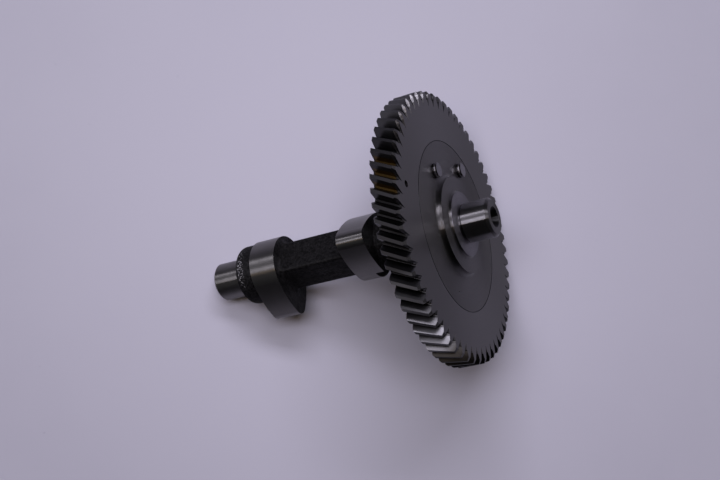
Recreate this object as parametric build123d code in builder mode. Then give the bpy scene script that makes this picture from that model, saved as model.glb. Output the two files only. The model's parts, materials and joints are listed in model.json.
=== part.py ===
from build123d import *
import os
from math import acos, atan, cos, degrees, radians, sin, tan

# Camshaft of a small single-cylinder engine, lying on a flat surface as it comes to rest:
# on two teeth of the timing gear and on the edge of the rear journal.
# Sizes are in millimetres and degrees. Stations are distances along the shaft from the
# gear's front face, positive towards the front journal. Turns are measured about the
# shaft from the side that faces up, and grow towards -Y.

# ---- Timing gear ----
gear_teeth = 60
gear_module = 1.6            # in the normal plane
helix_angle = 27.3           # right hand
pressure_angle = 20.0        # in the normal plane
dedendum_factor = 1.45
root_fillet = 0.4
gear_width = 10.3
front_bevel_width = 0.8      # along the shaft
front_bevel_height = 1.5
back_tooth_chamfer = 0.5
notch_run_in = 2.7           # notch at a gap's front end: its reach inside the root circle
notch_lean = 13.5            # of its axis from the gap's middle, towards the sharp edge
notch_half_angle = 13.5
timing_mark_circle = 45.6    # radius of the circle that the mark lies on
timing_mark_turn = -25.2
timing_mark_radius = 1.35
timing_mark_depth = 2.5

# ---- Flange and its two steps ----
flange_radius = 35.0
flange_thickness = 8.5
seam_chamfer = 0.2
lower_step_radius = 19.8
lower_step_height = 2.4
lower_step_fillet = 1.8
upper_step_radius = 13.2
upper_step_height = 1.2
upper_step_fillet = 1.0
punch_mark_circle = 29.0
punch_mark_turn = 60.0
punch_mark_radius = 0.4
punch_mark_depth = 0.3

# ---- Journals ----
journal_radius = 8.0
front_journal_length = 11.6
rear_journal_length = 13.4
journal_chamfer = 1.0
neck_length = 0.9
neck_depth = 0.5
centre_mouth_radius = 4.3
centre_pilot_radius = 1.6
centre_depth = 7.5
centre_angle = 60.0

# ---- Shank, lobes, bar and collar ----
shank_radius = 10.5
shank_length = 23.9          # from the flange's back face to the front lobe
shank_fillet = 5.0
base_circle_radius = 13.25
lobe_lift = 7.5
nose_radius = 4.8
flank_radius = 40.0
lobe_width = 11.9
front_lobe_turn = -14.2
rear_lobe_turn = 93.8
relief_depth = 3.8
relief_clearance = 0.4
relief_turn = 90.3
bar_length = 33.7
bar_side = 15.0
bar_corner = 1.4
bar_turn = 52.3
bar_blend = 2.0
collar_radius = 12.5
collar_length = 8.6
collar_round = 2.9

# ---- Pins pressed into the flange ----
pin_radius = 3.0
pin_proud = 2.0
pin_chamfer = 0.3
pin_places = {"pin_1": (25.0, -66.5), "pin_2": (27.4, -127.3)}   # circle radius, turn

# ---- Stations along the shaft ----
lower_step_face = lower_step_height
upper_step_face = lower_step_face + upper_step_height
journal_start = upper_step_face + neck_length
front_end = journal_start + front_journal_length
front_lobe_front = -flange_thickness - shank_length
front_lobe_back = front_lobe_front - lobe_width
rear_lobe_front = front_lobe_back - bar_length
rear_lobe_back = rear_lobe_front - lobe_width
collar_back = rear_lobe_back - collar_length
rear_end = collar_back - rear_journal_length

# ---- Tooth form, in the plane across the shaft ----
pitch_radius = gear_teeth * gear_module / cos(radians(helix_angle)) / 2
tip_radius = pitch_radius + gear_module
root_radius = pitch_radius - dedendum_factor * gear_module
transverse_pressure = atan(tan(radians(pressure_angle)) / cos(radians(helix_angle)))
involute_base = pitch_radius * cos(transverse_pressure)
twist_per_mm = degrees(tan(radians(helix_angle)) / pitch_radius)


def involute(angle):
    return tan(angle) - angle


def tooth_half_turn(radius):
    """Half the angle that a tooth takes up at a radius."""
    pressure_here = acos(involute_base / radius)
    thinning = involute(pressure_here) - involute(transverse_pressure)
    return 90 / gear_teeth - degrees(thinning)


def gap_point(radius, side):
    """Point on one flank of the gap that is centred on the local x axis."""
    turn = radians(side * (180 / gear_teeth - tooth_half_turn(radius)))
    return (radius * cos(turn), radius * sin(turn))


# ---- Cam form: base circle, two convex flanks and a nose, all tangent ----
nose_offset = base_circle_radius + lobe_lift - nose_radius
base_to_flank = flank_radius - base_circle_radius
nose_to_flank = flank_radius - nose_radius
flank_x = (base_to_flank**2 - nose_to_flank**2 + nose_offset**2) / (2 * nose_offset)
flank_y = -((base_to_flank**2 - flank_x**2) ** 0.5)
base_tangent_turn = degrees(atan(flank_y / flank_x)) % 180
nose_tangent_turn = degrees(atan(-flank_y / (nose_offset - flank_x)))


def lobe_reach_down(lobe_turn):
    """How far a lobe reaches from the shaft's axis towards the ground."""
    return max(base_circle_radius, nose_radius - nose_offset * cos(radians(lobe_turn)))


# ---- Rest on the ground ----
# The rim touches with the two teeth beside a gap, at the back edge of their tips.
rim_contact = back_tooth_chamfer - gear_width
rim_reach = tip_radius * cos(radians(180 / gear_teeth - tooth_half_turn(tip_radius)))
rear_edges = [
    (rear_end + journal_chamfer, journal_radius),
    (collar_back, collar_radius),
    (rear_lobe_back, lobe_reach_down(rear_lobe_turn)),
    (front_lobe_back, lobe_reach_down(front_lobe_turn)),
]
rest_tilt = min(atan((rim_reach - reach) / (rim_contact - place)) for place, reach in rear_edges)

end_edge = journal_radius - journal_chamfer
front_edges = [
    (-front_bevel_width, tip_radius),
    (0, tip_radius - front_bevel_height),
    (front_end, end_edge),
]
most_forward = max(place * cos(rest_tilt) + reach * sin(rest_tilt) for place, reach in front_edges)
most_rearward = rear_end * cos(rest_tilt) - end_edge * sin(rest_tilt)
gear_centre = Vector(
    -(most_forward + most_rearward) / 2,
    0,
    rim_reach * cos(rest_tilt) - rim_contact * sin(rest_tilt),
)
shaft_direction = Vector(cos(rest_tilt), 0, sin(rest_tilt))
shaft_up = Vector(-sin(rest_tilt), 0, cos(rest_tilt))
shaft_side = Vector(0, -1, 0)
shaft_axis = Axis(gear_centre, shaft_direction)
lengthwise = Plane(origin=gear_centre, x_dir=shaft_direction, z_dir=shaft_side)


def station(distance, turn=0.0):
    """Plane across the shaft, facing the front journal, turned about the shaft."""
    origin = gear_centre + shaft_direction * distance
    turned_up = shaft_up * cos(radians(turn)) + shaft_side * sin(radians(turn))
    return Plane(origin=origin, x_dir=turned_up, z_dir=shaft_direction)


def around(circle_radius, turn):
    """Point on a circle about the shaft, in the plane of a station."""
    return (circle_radius * cos(radians(turn)), circle_radius * sin(radians(turn)))


# ---- Camshaft: one casting, turned and ground where it runs ----
front_outline = {
    (front_end, 0): 0,
    (front_end, journal_radius - journal_chamfer): 0,
    (front_end - journal_chamfer, journal_radius): 0,
    (journal_start, journal_radius): 0,
    (journal_start, journal_radius - neck_depth): 0,
    (upper_step_face, journal_radius - neck_depth): 0,
    (upper_step_face, upper_step_radius): 0,
    (lower_step_face, upper_step_radius): upper_step_fillet,
    (lower_step_face, lower_step_radius): 0,
    (0, lower_step_radius): lower_step_fillet,
    (0, flange_radius - seam_chamfer): 0,
    (-seam_chamfer, flange_radius): 0,
    (seam_chamfer - flange_thickness, flange_radius): 0,
    (-flange_thickness, flange_radius - seam_chamfer): 0,
    (-flange_thickness, shank_radius): shank_fillet,
    (front_lobe_front, shank_radius): 0,
    (front_lobe_front, 0): 0,
}
rear_outline = {
    (rear_lobe_back, 0): 0,
    (rear_lobe_back, collar_radius): 0,
    (collar_back, collar_radius): collar_round,
    (collar_back, journal_radius): 0,
    (rear_end + journal_chamfer, journal_radius): 0,
    (rear_end, journal_radius - journal_chamfer): 0,
    (rear_end, 0): 0,
}

with BuildPart() as camshaft:
    # Turned ends, the front one with the flange and the shank
    for outline in (front_outline, rear_outline):
        with BuildSketch(lengthwise):
            with BuildLine():
                FilletPolyline(*outline.keys(), radius=list(outline.values()), close=True)
            make_face()
        revolve(axis=shaft_axis)

    # Cam lobes
    for lobe_front, lobe_turn in (
        (front_lobe_front, front_lobe_turn),
        (rear_lobe_front, rear_lobe_turn),
    ):
        with BuildSketch(station(lobe_front, lobe_turn)):
            with BuildLine():
                base_arc = CenterArc(
                    (0, 0), base_circle_radius, base_tangent_turn, 360 - 2 * base_tangent_turn
                )
                nose_arc = CenterArc(
                    (nose_offset, 0), nose_radius, -nose_tangent_turn, 2 * nose_tangent_turn
                )
                RadiusArc(nose_arc @ 1, base_arc @ 0, -flank_radius)
                RadiusArc(base_arc @ 1, nose_arc @ 0, -flank_radius)
            make_face()
        extrude(amount=-lobe_width)

    # Square bar between the lobes, as cast
    with BuildSketch(station(front_lobe_back, bar_turn)):
        RectangleRounded(bar_side, bar_side, bar_corner)
    extrude(amount=-bar_length)
    fillet(camshaft.edges(Select.LAST).filter_by(shaft_axis, reverse=True), bar_blend)

    # Flat relief in the front edge of the front lobe
    with BuildSketch(station(front_lobe_front, relief_turn)):
        with Locations((shank_radius + relief_clearance, 0)):
            Rectangle(
                base_circle_radius, 4 * base_circle_radius, align=(Align.MIN, Align.CENTER)
            )
    extrude(amount=-relief_depth, mode=Mode.SUBTRACT)

    # Turning centres in both ends
    rear_face = Plane(station(rear_end).origin, x_dir=shaft_up, z_dir=-shaft_direction)
    for end_face in (station(front_end), rear_face):
        with Locations(end_face):
            CounterSinkHole(
                centre_pilot_radius, centre_mouth_radius, centre_depth, centre_angle
            )

    # Holes for the pins, and a hardness-test dimple
    with Locations(station(0)):
        with Locations(*[around(*place) for place in pin_places.values()]):
            Hole(pin_radius)
        with Locations(around(punch_mark_circle, punch_mark_turn)):
            Hole(punch_mark_radius, punch_mark_depth)
camshaft.part.label = "camshaft"

# ---- Gap between two teeth, about the z axis of a plain frame ----
overrun = 1.0
with BuildPart() as tooth_gap:
    for distance in (overrun, -gear_width - overrun):
        turn = 180 + (distance - rim_contact) * twist_per_mm
        with BuildSketch(Plane.XY.offset(distance).rotated((0, 0, turn))) as gap_section:
            with BuildLine():
                flanks = [
                    ThreePointArc(
                        gap_point(root_radius, side),
                        gap_point(pitch_radius, side),
                        gap_point(tip_radius + overrun, side),
                    )
                    for side in (-1, 1)
                ]
                RadiusArc(flanks[0] @ 0, flanks[1] @ 0, root_radius)
                Line(flanks[0] @ 1, flanks[1] @ 1)
            make_face()
            fillet(gap_section.vertices().sort_by(Axis((0, 0, 0), (1, 0, 0)))[:2], root_fillet)
    loft(ruled=True)

    # Cone-shaped notch that breaks the sharp edge of the gap's front end
    front_turn = 180 - rim_contact * twist_per_mm
    notch_start = root_radius - notch_run_in
    notch_length = tip_radius + 2 * overrun - notch_start
    notch_axis = Plane(
        origin=(*around(notch_start, front_turn), 0),
        z_dir=(*around(1, front_turn - notch_lean), 0),
    )
    with Locations(notch_axis):
        Cone(
            0,
            notch_length * tan(radians(notch_half_angle)),
            notch_length,
            align=(Align.CENTER, Align.CENTER, Align.MIN),
        )

# ---- Timing gear: helical ring pressed on the flange ----
gear_outline = [
    (0, flange_radius + seam_chamfer),
    (-seam_chamfer, flange_radius),
    (seam_chamfer - gear_width, flange_radius),
    (-gear_width, flange_radius + seam_chamfer),
    (-gear_width, tip_radius - back_tooth_chamfer),
    (rim_contact, tip_radius),
    (-front_bevel_width, tip_radius),
    (0, tip_radius - front_bevel_height),
]

with BuildPart(station(0)) as timing_gear:
    with BuildSketch(lengthwise):
        with BuildLine():
            Polyline(*gear_outline, close=True)
        make_face()
    revolve(axis=shaft_axis)
    with PolarLocations(0, gear_teeth):
        add(tooth_gap.part, mode=Mode.SUBTRACT)
    with Locations(around(timing_mark_circle, timing_mark_turn)):
        Hole(timing_mark_radius, timing_mark_depth)
timing_gear.part.label = "timing_gear"

# ---- Pins: pressed through the flange, their ends standing proud of its face ----
pins = {}
for pin_name, place in pin_places.items():
    with BuildPart() as pin:
        with BuildSketch(station(pin_proud)):
            with Locations(around(*place)):
                Circle(pin_radius)
        extrude(amount=-pin_proud - flange_thickness)
        chamfer(pin.edges().filter_by(GeomType.CIRCLE), pin_chamfer)
    pin.part.label = pin_name
    pins[pin_name] = pin

os.makedirs("parts", exist_ok=True)
export_step(camshaft.part, "parts/camshaft.step")
export_step(timing_gear.part, "parts/timing_gear.step")
for pin_name, pin in pins.items():
    export_step(pin.part, f"parts/{pin_name}.step")
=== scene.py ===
import json
from math import radians

import bpy
from mathutils import Matrix, Vector

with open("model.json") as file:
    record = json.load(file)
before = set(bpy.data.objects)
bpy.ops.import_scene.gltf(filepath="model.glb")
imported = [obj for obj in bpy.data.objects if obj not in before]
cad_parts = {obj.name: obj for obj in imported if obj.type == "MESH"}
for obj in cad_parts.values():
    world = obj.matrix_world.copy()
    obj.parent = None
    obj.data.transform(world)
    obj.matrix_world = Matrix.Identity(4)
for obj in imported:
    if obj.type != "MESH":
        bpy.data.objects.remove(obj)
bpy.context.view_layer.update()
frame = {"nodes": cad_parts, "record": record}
scene = bpy.context.scene
scene.view_settings.view_transform = "Standard"

MM = 0.001
DEGREES_PER_RADIAN = 57.2958

# ---- The shaft's own axes: x along the shaft, y and z across it ----
journal = next(m for m in frame["record"]["mounts"] if m["name"] == "front_journal")
SHAFT_X = Vector(journal["axis"]).normalized()
SHAFT_Z = Vector((0, -1, 0))
SHAFT_Y = SHAFT_Z.cross(SHAFT_X)
JOURNAL_MIDDLE = 9.8 * MM            # from the gear's front face
GEAR_CENTRE = Vector(journal["pos_m"]) - SHAFT_X * JOURNAL_MIDDLE
SHAFT_ROTATION = Matrix((SHAFT_X, SHAFT_Y, SHAFT_Z)).transposed()


# ---- Node helpers ----
class Nodes:
    """A material or world node tree, with one short call for each kind of node."""

    def __init__(self, tree):
        self.tree = tree
        self.tree.nodes.clear()

    def add(self, kind, **settings):
        node = self.tree.nodes.new(kind)
        for name, value in settings.items():
            setattr(node, name, value)
        return node

    def plug(self, socket, value):
        if isinstance(value, bpy.types.NodeSocket):
            self.tree.links.new(value, socket)
        elif value is not None:
            socket.default_value = value

    def math(self, operation, *values):
        node = self.add("ShaderNodeMath", operation=operation)
        for socket, value in zip(node.inputs, values):
            self.plug(socket, value)
        return node.outputs[0]

    def vector(self, operation, *values):
        node = self.add("ShaderNodeVectorMath", operation=operation)
        for socket, value in zip(node.inputs, values):
            self.plug(socket, value)
        return node.outputs["Value" if operation in ("LENGTH", "DOT_PRODUCT") else "Vector"]

    def join(self, x, y, z):
        node = self.add("ShaderNodeCombineXYZ")
        for socket, value in zip(node.inputs, (x, y, z)):
            self.plug(socket, value)
        return node.outputs[0]

    def split(self, vector):
        node = self.add("ShaderNodeSeparateXYZ")
        self.plug(node.inputs[0], vector)
        return node.outputs

    def noise(self, vector, scale, detail=4.0, roughness=0.55, output="Fac"):
        node = self.add("ShaderNodeTexNoise")
        self.plug(node.inputs["Vector"], vector)
        node.inputs["Scale"].default_value = scale
        node.inputs["Detail"].default_value = detail
        node.inputs["Roughness"].default_value = roughness
        return node.outputs[output]

    def ramp(self, value, start, end, low=0.0, high=1.0):
        """Smooth step of a value from start to end."""
        node = self.add("ShaderNodeMapRange", interpolation_type="SMOOTHSTEP")
        self.plug(node.inputs["Value"], value)
        node.inputs["From Min"].default_value = start
        node.inputs["From Max"].default_value = end
        node.inputs["To Min"].default_value = low
        node.inputs["To Max"].default_value = high
        return node.outputs["Result"]

    def above(self, value, edge, soft):
        """0 below an edge, 1 above it, with a soft step between."""
        return self.ramp(value, edge - soft, edge + soft)

    def below(self, value, edge, soft):
        """1 below an edge, 0 above it, with a soft step between."""
        return self.ramp(value, edge - soft, edge + soft, low=1.0, high=0.0)

    def band(self, value, start, end, soft):
        """1 between start and end, 0 outside, with soft edges."""
        return self.math("MULTIPLY", self.above(value, start, soft), self.below(value, end, soft))

    def mix(self, factor, first, second):
        """Mix of two numbers."""
        node = self.add("ShaderNodeMix", data_type="FLOAT")
        self.plug(node.inputs[0], factor)
        self.plug(node.inputs[2], first)
        self.plug(node.inputs[3], second)
        return node.outputs[0]

    def blend(self, factor, first, second):
        """Mix of two colours."""
        node = self.add("ShaderNodeMix", data_type="RGBA")
        self.plug(node.inputs[0], factor)
        self.plug(node.inputs[6], (*first, 1.0) if isinstance(first, tuple) else first)
        self.plug(node.inputs[7], (*second, 1.0) if isinstance(second, tuple) else second)
        return node.outputs[2]

    def bump(self, height, distance, normal=None):
        node = self.add("ShaderNodeBump")
        node.inputs["Strength"].default_value = 1.0
        node.inputs["Distance"].default_value = distance
        self.plug(node.inputs["Height"], height)
        self.plug(node.inputs["Normal"], normal)
        return node.outputs[0]

    def surface(self, **inputs):
        """The Principled shader, and the output."""
        shader = self.add("ShaderNodeBsdfPrincipled")
        for name, value in inputs.items():
            self.plug(shader.inputs[name.replace("_", " ")], value)
        output = self.add("ShaderNodeOutputMaterial")
        self.plug(output.inputs[0], shader.outputs[0])


MARKS_PER_RADIAN = 1.2


class ShaftSpace:
    """Places on the part in millimetres, measured along and around the shaft."""

    def __init__(self, n):
        coordinates = n.add("ShaderNodeTexCoord").outputs["Object"]
        mapping = n.add("ShaderNodeMapping", vector_type="TEXTURE")
        n.plug(mapping.inputs["Vector"], coordinates)
        mapping.inputs["Location"].default_value = GEAR_CENTRE
        mapping.inputs["Rotation"].default_value = SHAFT_ROTATION.to_euler("XYZ")
        scaled = n.add("ShaderNodeVectorMath", operation="SCALE")
        n.plug(scaled.inputs[0], mapping.outputs[0])
        scaled.inputs["Scale"].default_value = 1 / MM
        self.place = scaled.outputs[0]
        self.x, self.y, self.z = n.split(self.place)
        self.radius = n.vector("LENGTH", n.join(0.0, self.y, self.z))
        self.angle = n.math("ARCTAN2", self.z, self.y)
        # Geometry's normal in the shaft's axes
        normal = n.add("ShaderNodeNewGeometry").outputs["True Normal"]
        self.facing_front = n.vector("DOT_PRODUCT", normal, SHAFT_X)
        outward = n.vector("NORMALIZE", n.join(0.0, self.y, self.z))
        normal_y = n.vector("DOT_PRODUCT", normal, SHAFT_Y)
        normal_z = n.vector("DOT_PRODUCT", normal, SHAFT_Z)
        out_y, out_z = n.split(outward)[1:]
        self.facing_out = n.math(
            "ADD", n.math("MULTIPLY", normal_y, out_y), n.math("MULTIPLY", normal_z, out_z)
        )
        self.facing_round = n.math(
            "SUBTRACT", n.math("MULTIPLY", normal_z, out_y), n.math("MULTIPLY", normal_y, out_z)
        )
        # Across the tool marks, which run round the shaft
        arm = n.vector("SUBTRACT", coordinates, GEAR_CENTRE)
        around = n.vector("CROSS_PRODUCT", SHAFT_X, arm)
        self.across = n.vector("NORMALIZE", n.vector("CROSS_PRODUCT", normal, around))
        # Tool marks: fine along the shaft and outwards, long around it
        self.marks = n.join(self.x, self.radius, n.math("MULTIPLY", self.angle, MARKS_PER_RADIAN))


def material(name):
    made = bpy.data.materials.new(name)
    made.use_nodes = True
    return made, Nodes(made.node_tree)


def dress(node, made):
    for slot in frame["nodes"][node].material_slots:
        slot.link = "OBJECT"
        slot.material = made


# ---- Shared by the materials ----
NOISE_RANGE = (0.3, 0.7)             # where most of a noise texture's values lie
NOISE_MIDDLE = (0.5, 0.5, 0.5)
TOOL_MARKS = {"scale": 2.6, "detail": 4.0, "roughness": 0.6}
TOOL_MARK_DEPTH = 0.002 * MM
FLANGE_RADIUS = 35.0                 # mm
CRISP = 0.05                         # mm, half the width of a sharp change of finish

# ---- Camshaft: dark casting, ground on its journals and cams, turned on its front ----
# Places along the shaft in mm from the gear's front face, and radii in mm
TURNED_BACK = -0.55
UPPER_STEP = (3.3, 4.2)
UPPER_STEP_RADIUS = 7.5
NECK = (4.25, 4.85)
POLISHED_START = 4.95
FRONT_CAM = (-44.32, -32.3)
REAR_CAM = (-89.95, -77.9)
CAM_RADIUS = 13.16
CAM_CRISP = 0.04
COLLAR = (-98.7, -90.05)
# Where the collar's painted glints go
GLINT_PART_OF_COLLAR = (-96.6, -94.2)
GLINT_SIDE_OF_COLLAR = (-0.9, 0.2)    # radians about the shaft
REAR_JOURNAL_START = -98.5
REAR_JOURNAL_RADIUS = 8.125
SEAM_RADIUS = FLANGE_RADIUS - 0.2

CAST_DARK, CAST_PALE = (0.001, 0.001, 0.001), (0.0145, 0.0138, 0.0148)
GROUND_DARK, GROUND_PALE = (0.142, 0.137, 0.133), (0.162, 0.156, 0.151)
TURNED_DARK, TURNED_PALE = (0.071, 0.0679, 0.0692), (0.0836, 0.0804, 0.0817)
UPPER_STEP_COLOUR = (0.13, 0.125, 0.138)
POLISHED_COLOUR = (0.235, 0.229, 0.236)
NECK_COLOUR = (0.035, 0.034, 0.036)
# Painted shade in the centre bore
BORE_SHADE_COLOUR = (0.038, 0.037, 0.039)
SEAM_COLOUR = (0.012, 0.012, 0.012)
# Colour of the collar's painted glints
GLINT_FLECK_COLOUR = (0.42, 0.412, 0.43)

CAST_ROUGH, GROUND_ROUGH, TURNED_ROUGH = (0.4, 0.6), (0.28, 0.32), (0.38, 0.46)
COLLAR_ROUGH, POLISHED_ROUGH, BORE_ROUGH, FLECK_ROUGH = 0.65, 0.23, 0.6, 0.36
CAST_DEPTH = 0.22 * MM
GRAIN_RANGE = (0.35, 0.7)
PIT_SHARE = 0.8
FLECK_NOISE = (0.56, 0.62)
TURNED_SPREAD = 6.0

# Cosines: of a surface's tilt to the shaft, and of the bore's walls to the way out from it
ROUND_SURFACES = (0.3, 0.5)
FRONT_FACES = (0.8, 0.9)
BORE_WALLS = (-0.2, -0.4)


def camshaft_material():
    made, n = material("camshaft_iron")
    s = ShaftSpace(n)
    around = n.ramp(n.math("ABSOLUTE", s.facing_front), *ROUND_SURFACES, low=1.0, high=0.0)
    front_journal = n.above(s.x, POLISHED_START, soft=0.12)
    rear_journal = n.math(
        "MULTIPLY",
        n.below(s.x, REAR_JOURNAL_START, soft=0.1),
        n.below(s.radius, REAR_JOURNAL_RADIUS, soft=0.075),
    )
    cam_places = n.math("ADD", n.band(s.x, *FRONT_CAM, CAM_CRISP), n.band(s.x, *REAR_CAM, CAM_CRISP))
    cam_edges = n.math("MULTIPLY", around, n.above(s.radius, CAM_RADIUS, CAM_CRISP))
    cams = n.math("MULTIPLY", cam_places, cam_edges)
    turned = n.above(s.x, TURNED_BACK, CRISP)
    collar = n.band(s.x, *COLLAR, CRISP)

    fine = n.noise(s.marks, **TOOL_MARKS)
    broad = n.noise(s.place, scale=0.09, detail=3.0)
    grain = n.noise(s.place, scale=1.1, detail=5.0, roughness=0.7)
    pits = n.noise(s.place, scale=0.45, detail=3.0)

    # As cast
    cast_colour = n.blend(n.ramp(grain, *GRAIN_RANGE), CAST_DARK, CAST_PALE)
    cast_rough = n.ramp(pits, *NOISE_RANGE, *CAST_ROUGH)
    cast_rough = n.mix(collar, cast_rough, COLLAR_ROUGH)
    # Ground
    ground_colour = n.blend(n.ramp(broad, *NOISE_RANGE), GROUND_DARK, GROUND_PALE)
    ground_rough = n.ramp(fine, *NOISE_RANGE, *GROUND_ROUGH)
    # Turned
    turned_colour = n.blend(n.ramp(fine, *NOISE_RANGE), TURNED_DARK, TURNED_PALE)
    turned_rough = n.ramp(fine, *NOISE_RANGE, *TURNED_ROUGH)

    ground = n.math("MAXIMUM", cams, rear_journal)
    colour = n.blend(ground, cast_colour, ground_colour)
    colour = n.blend(turned, colour, turned_colour)
    upper_step = n.math(
        "MULTIPLY",
        n.band(s.x, *UPPER_STEP, CRISP),
        n.above(s.radius, UPPER_STEP_RADIUS, soft=0.1),
    )
    colour = n.blend(upper_step, colour, UPPER_STEP_COLOUR)
    polished = n.math("MULTIPLY", front_journal, around)
    colour = n.blend(polished, colour, POLISHED_COLOUR)
    neck = n.math("MULTIPLY", n.band(s.x, *NECK, soft=0.08), around)
    colour = n.blend(neck, colour, NECK_COLOUR)
    # Painted shade on the centre bore's walls
    bore = n.math("MULTIPLY", n.ramp(s.facing_out, *BORE_WALLS), turned)
    colour = n.blend(bore, colour, BORE_SHADE_COLOUR)
    seam = n.math("MULTIPLY", turned, n.above(s.radius, SEAM_RADIUS, CRISP))
    colour = n.blend(seam, colour, SEAM_COLOUR)
    rough = n.mix(ground, cast_rough, ground_rough)
    rough = n.mix(turned, rough, turned_rough)
    rough = n.mix(polished, rough, POLISHED_ROUGH)
    rough = n.mix(bore, rough, BORE_ROUGH)
    bare = n.math("MAXIMUM", ground, turned)
    # Painted glints: pale metal flecks, only on the part and side of the collar where the highlights fall
    glint_place = n.math(
        "MULTIPLY",
        n.band(s.x, *GLINT_PART_OF_COLLAR, soft=0.9),
        n.band(s.angle, *GLINT_SIDE_OF_COLLAR, soft=0.3),
    )
    flecks = n.ramp(n.noise(s.place, scale=1.9, detail=3.0), *FLECK_NOISE)
    flecks = n.math("MULTIPLY", n.math("MULTIPLY", collar, glint_place), flecks)
    colour = n.blend(flecks, colour, GLINT_FLECK_COLOUR)
    rough = n.mix(flecks, rough, FLECK_ROUGH)
    metal = n.math("MAXIMUM", bare, flecks)

    cast_height = n.math("ADD", grain, n.math("MULTIPLY", pits, PIT_SHARE))
    cast_normal = n.bump(n.math("MULTIPLY", cast_height, n.math("SUBTRACT", 1.0, bare)), CAST_DEPTH)
    normal = n.bump(n.math("MULTIPLY", fine, bare), TOOL_MARK_DEPTH, normal=cast_normal)
    # The turned faces spread light more evenly than the ground round surfaces
    swirl = n.noise(s.place, scale=9.0, detail=2.0, output="Color")
    swirl = n.vector("SUBTRACT", swirl, NOISE_MIDDLE)
    front_faces = n.math("MULTIPLY", turned, n.ramp(s.facing_front, *FRONT_FACES))
    evenly = n.math("MULTIPLY", front_faces, TURNED_SPREAD)
    swirl = n.vector("MULTIPLY", swirl, n.join(evenly, evenly, evenly))
    tangent = n.vector("NORMALIZE", n.vector("ADD", s.across, swirl))
    n.surface(
        Base_Color=colour,
        Metallic=metal,
        Roughness=rough,
        Normal=normal,
        Tangent=tangent,
        Anisotropic=1.0,
        Specular_IOR_Level=0.1,
    )
    return made


# ---- Timing gear: turned faces, hobbed teeth, dark in the gaps, with painted light and shade on the teeth ----
TOOTH_PITCH = 6.0                    # degrees
TWIST = 0.5475                       # degrees of turn a millimetre along the shaft
AMBER_REFLECTION_GAP = -30.76                   # turn of the first amber stripe at the front face
AMBER_REFLECTION_LENGTH = (-9.7, -1.2)          # mm along the shaft
MARK = (0.0, 41.26, -19.42)          # timing mark, from the gear's centre
MARK_RADIUS = 1.475
MARK_START = -0.03                   # just behind the front face
TIP_START_RADIUS = 54.7
ROOT_RADIUS = 52.65
GEAR_SEAM_RADIUS = FLANGE_RADIUS + 0.15
STRIPE_HALF_WIDTH = 1.25             # degrees

# Degrees about the shaft: 0 is up from the floor, 90 is towards the photo's lower edge
# Where painted highlights fall on the flanks
LIT_TOP_FLANKS = (-65.0, -45.0)
LIT_LOW_FLANKS = (8.0, 51.0)
# Where painted light and shade fall on the tooth tips
TIP_LIGHT_RAMP = (-8.0, 30.0)
TIP_HIGHLIGHT_BAND = (14.0, 29.0)
SHADED_UNDERSIDE = (52.5, 55.5)

# Cosines: of a surface's tilt to the shaft, to the way out from it and to the way round it
GEAR_FACES = (0.8, 0.86)
TOOTH_LANDS = (0.9, 0.97)
LIT_FLANK_FACING = (0.35, 0.65)

FACE_DARK, FACE_PALE = (0.074, 0.0705, 0.0716), (0.0865, 0.083, 0.0841)
# Flank colours: the top and low ones are painted highlights
FLANK_TOP_HIGHLIGHT, FLANK_SIDE = (0.12, 0.117, 0.122), (0.058, 0.056, 0.058)
FLANK_LOW_HIGHLIGHT = (0.095, 0.093, 0.098)
# Painted shade at the roots of the tooth gaps
ROOT_SHADE_COLOUR = (0.034, 0.033, 0.034)
# Colour of a painted amber reflection
AMBER_REFLECTION_COLOUR = (0.1, 0.062, 0.02)
# Tooth tip colours: painted shade, painted light and a painted highlight
TIP_SHADE, TIP_LIGHT, TIP_HIGHLIGHT = (0.036, 0.035, 0.037), (0.15, 0.147, 0.155), (0.34, 0.334, 0.35)
# Painted shade where the rim turns under
UNDERSIDE_SHADE_COLOUR = (0.014, 0.013, 0.012)
# Painted shade in the timing mark, and the seam's dark colour
MARK_SHADE_AND_SEAM_COLOUR = (0.012, 0.011, 0.012)
FACE_ROUGH, FLANK_ROUGH, TIP_ROUGH, MARK_ROUGH = (0.42, 0.48), (0.3, 0.4), 0.55, 0.6


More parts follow.
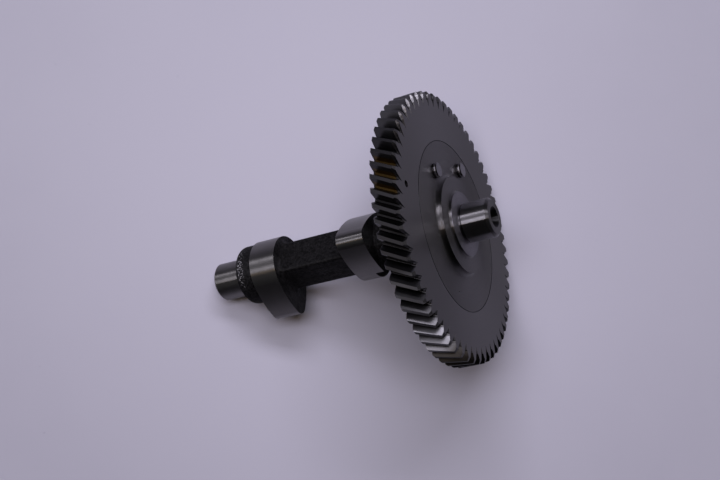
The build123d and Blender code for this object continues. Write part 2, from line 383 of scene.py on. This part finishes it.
def gear_material():
    made, n = material("gear_steel")
    s = ShaftSpace(n)
    fine = n.noise(s.marks, **TOOL_MARKS)
    broad = n.noise(s.place, scale=0.05, detail=3.0)
    face = n.ramp(n.math("ABSOLUTE", s.facing_front), *GEAR_FACES)
    land = n.ramp(s.facing_out, *TOOTH_LANDS)
    gap = n.below(s.radius, TIP_START_RADIUS, soft=0.5)
    degrees = n.math("MULTIPLY", s.angle, DEGREES_PER_RADIAN)
    turn = n.math("SUBTRACT", degrees, n.math("MULTIPLY", s.x, TWIST))

    face_colour = n.blend(n.ramp(fine, *NOISE_RANGE), FACE_DARK, FACE_PALE)
    # Painted highlights on the flanks low on the gear and at its top, darker between
    painted_highlight = n.math(
        "MULTIPLY",
        n.ramp(n.math("MULTIPLY", s.facing_round, -1.0), *LIT_FLANK_FACING),
        n.band(degrees, *LIT_LOW_FLANKS, soft=3.0),
    )
    top_highlight = n.ramp(degrees, *LIT_TOP_FLANKS, low=1.0, high=0.0)
    upper_flanks_with_highlight = n.blend(top_highlight, FLANK_SIDE, FLANK_TOP_HIGHLIGHT)
    flank_colour = n.blend(painted_highlight, upper_flanks_with_highlight, FLANK_LOW_HIGHLIGHT)
    # Painted shade in the roots of the gaps
    root_shade = n.below(s.radius, ROOT_RADIUS, soft=0.25)
    flank_colour = n.blend(root_shade, flank_colour, ROOT_SHADE_COLOUR)
    # Painted amber reflection in three gaps
    from_gap = n.math("SUBTRACT", turn, AMBER_REFLECTION_GAP)
    stripe = n.math("WRAP", from_gap, 0.5 * TOOTH_PITCH, -0.5 * TOOTH_PITCH)
    stripe = n.below(n.math("ABSOLUTE", stripe), STRIPE_HALF_WIDTH, soft=0.25)
    three = n.band(turn, AMBER_REFLECTION_GAP - 0.5 * TOOTH_PITCH, AMBER_REFLECTION_GAP + 2.5 * TOOTH_PITCH, soft=0.2)
    amber_reflection = n.math("MULTIPLY", n.math("MULTIPLY", stripe, three), n.band(s.x, *AMBER_REFLECTION_LENGTH, soft=0.6))
    flank_colour = n.blend(amber_reflection, flank_colour, AMBER_REFLECTION_COLOUR)
    land = n.math("MULTIPLY", land, n.math("SUBTRACT", 1.0, gap))
    # Painted light and shade on the tooth tips, by their angle about the shaft
    land_colour = n.blend(n.ramp(degrees, *TIP_LIGHT_RAMP), TIP_SHADE, TIP_LIGHT)
    land_colour = n.blend(n.band(degrees, *TIP_HIGHLIGHT_BAND, soft=4.0), land_colour, TIP_HIGHLIGHT)
    colour = n.blend(land, flank_colour, land_colour)
    # Painted shade, darkest where the rim turns under
    colour = n.blend(n.ramp(degrees, *SHADED_UNDERSIDE), colour, UNDERSIDE_SHADE_COLOUR)
    colour = n.blend(face, colour, face_colour)
    # Painted shade in the timing mark; the seam with the flange is dark
    to_mark = n.vector("LENGTH", n.vector("SUBTRACT", n.join(0.0, s.y, s.z), MARK))
    mark_shade = n.math(
        "MULTIPLY", n.below(to_mark, MARK_RADIUS, soft=0.075), n.below(s.x, MARK_START, soft=0.02)
    )
    seam = n.below(s.radius, GEAR_SEAM_RADIUS, CRISP)
    mark_shade_or_seam = n.math("MAXIMUM", mark_shade, seam)
    colour = n.blend(mark_shade_or_seam, colour, MARK_SHADE_AND_SEAM_COLOUR)
    rough = n.mix(land, n.ramp(broad, *NOISE_RANGE, *FLANK_ROUGH), TIP_ROUGH)
    rough = n.mix(face, rough, n.ramp(fine, *NOISE_RANGE, *FACE_ROUGH))
    rough = n.mix(mark_shade_or_seam, rough, MARK_ROUGH)
    normal = n.bump(fine, TOOL_MARK_DEPTH)
    n.surface(
        Base_Color=colour, Metallic=1.0, Roughness=rough, Normal=normal, Tangent=s.across, Anisotropic=0.5
    )
    return made


# ---- Pins: hardened and ground, with a painted highlight band on their sides ----
PIN_HIGHLIGHT_BAND = (0.95, 1.55)           # mm in front of the flange's face
PIN_SIDE, PIN_HIGHLIGHT, PIN_END = (0.06, 0.058, 0.06), (0.55, 0.535, 0.57), (0.085, 0.082, 0.088)
PIN_ROUGH = (0.16, 0.26)
PIN_GRAIN_DEPTH = 0.01 * MM
PIN_END_FACE = (0.8, 0.95)           # cosines of a surface's tilt to the shaft


def pin_material():
    made, n = material("pin_steel")
    s = ShaftSpace(n)
    grain = n.noise(s.place, scale=4.0, detail=5.0)
    end = n.ramp(s.facing_front, *PIN_END_FACE)
    # Painted highlight band on the pins' sides
    painted_highlight = n.band(s.x, *PIN_HIGHLIGHT_BAND, soft=0.12)
    side_colour = n.blend(painted_highlight, PIN_SIDE, PIN_HIGHLIGHT)
    colour = n.blend(end, side_colour, PIN_END)
    n.surface(
        Base_Color=colour,
        Metallic=1.0,
        Roughness=n.ramp(grain, *NOISE_RANGE, *PIN_ROUGH),
        Normal=n.bump(grain, PIN_GRAIN_DEPTH),
    )
    return made


dress("camshaft", camshaft_material())
dress("timing_gear", gear_material())
steel = pin_material()
dress("pin_1", steel)
dress("pin_2", steel)

# ---- Floor ----
FLOOR_COLOUR = (0.367, 0.359, 0.425)
FLOOR_CLOUD = (0.385, 0.377, 0.443)
# Painted pool of light in the middle of the floor
FLOOR_LIGHT_POOL = (0.443, 0.433, 0.512)
FLOOR_SPECK = (0.2, 0.19, 0.25)
SPECK_NOISE = (0.73, 0.8)
SPECK_SHARE = 0.35
LIGHT_POOL_REACH = (0.03, 0.2)           # metres from the frame's origin
FLOOR_SIZE = 12.0
FLOOR_GAP = 0.02 * MM
FLOOR_ROUGH = 0.6


def floor_material():
    made, n = material("floor_sheet")
    place = n.add("ShaderNodeTexCoord").outputs["Object"]
    cloud = n.noise(place, scale=9.0, detail=5.0, roughness=0.6)
    speck = n.ramp(n.noise(place, scale=210.0, detail=2.0), *SPECK_NOISE)
    colour = n.blend(n.ramp(cloud, *NOISE_RANGE), FLOOR_COLOUR, FLOOR_CLOUD)
    colour = n.blend(n.math("MULTIPLY", speck, SPECK_SHARE), colour, FLOOR_SPECK)
    # Painted pool of light, palest under the part
    middle = n.ramp(n.vector("LENGTH", place), *LIGHT_POOL_REACH, low=1.0, high=0.0)
    colour = n.blend(middle, colour, FLOOR_LIGHT_POOL)
    n.surface(Base_Color=colour, Roughness=FLOOR_ROUGH)
    return made


bpy.ops.mesh.primitive_plane_add(size=FLOOR_SIZE, location=(0, 0, -FLOOR_GAP))
floor = bpy.context.object
floor.name = "floor"
floor.data.materials.append(floor_material())

# ---- World: dim room, pale where the camera sees it ----
ROOM_DARK, ROOM_PALE, END_FILL = (0.02, 0.02, 0.02), (0.09, 0.09, 0.1), (0.4, 0.4, 0.42)
PALE_SIDE = (-0.1, 0.6)              # directions, from -1 to 1 across the room
FILLED_ENDS = (0.8, 0.97)

world = bpy.data.worlds.new("room")
world.use_nodes = True
scene.world = world
n = Nodes(world.node_tree)
direction = n.add("ShaderNodeTexCoord").outputs["Generated"]
left_right, side = n.split(direction)[:2]
room = n.blend(n.ramp(side, *PALE_SIDE), ROOM_DARK, ROOM_PALE)
# Soft fill from both ends of the shaft, low down
room = n.blend(n.ramp(n.math("ABSOLUTE", left_right), *FILLED_ENDS), room, END_FILL)
pale = n.blend(n.add("ShaderNodeLightPath").outputs["Is Camera Ray"], room, FLOOR_COLOUR)
background = n.add("ShaderNodeBackground")
n.plug(background.inputs["Color"], pale)
n.plug(n.add("ShaderNodeOutputWorld").inputs[0], background.outputs[0])


# ---- Lamps: four soft panels, placed by their angle about the shaft ----
PANEL_DISTANCE = 1.8
PANEL_LENGTH = 1.3
COOL = (1.0, 0.97, 1.1)
WARM = (1.0, 0.72, 0.42)


def panel(name, angle, lean, width, power, colour=COOL):
    """A panel along the shaft, at an angle about it in degrees, leaning towards its front end."""
    data = bpy.data.lights.new(name, "AREA")
    data.shape = "RECTANGLE"
    data.size = PANEL_LENGTH
    data.size_y = width
    data.energy = power
    data.color = colour
    made = bpy.data.objects.new(name, data)
    turn = Matrix.Rotation(radians(angle), 3, SHAFT_X)
    back = (turn @ SHAFT_Y + SHAFT_X * lean).normalized()
    along = (SHAFT_X - back * SHAFT_X.dot(back)).normalized()
    made.matrix_world = Matrix((along, back.cross(along), back)).transposed().to_4x4()
    made.location = GEAR_CENTRE + back * PANEL_DISTANCE
    scene.collection.objects.link(made)


panel("panel_low", angle=-46, lean=0.5, width=0.34, power=18.5)
panel("panel_middle", angle=-28, lean=0.3, width=0.6, power=4.0)
panel("panel_warm", angle=-2.5, lean=0.35, width=0.2, power=2.2, colour=WARM)
panel("panel_high", angle=-13.5, lean=0.35, width=0.4, power=13.2)

# ---- Camera: where the photograph was taken from ----
CAMERA_PLACE = (0.81 * MM, -0.72 * MM, 548.64 * MM)
CAMERA_TURN = (0.51, 0.024, -13.597)     # degrees
SENSOR_WIDTH = 36.0
LENS = 61.99

camera_data = bpy.data.cameras.new("camera")
camera_data.sensor_width = SENSOR_WIDTH
camera_data.lens = LENS
camera = bpy.data.objects.new("camera", camera_data)
camera.location = CAMERA_PLACE
camera.rotation_euler = [radians(turn) for turn in CAMERA_TURN]
scene.collection.objects.link(camera)
scene.camera = camera
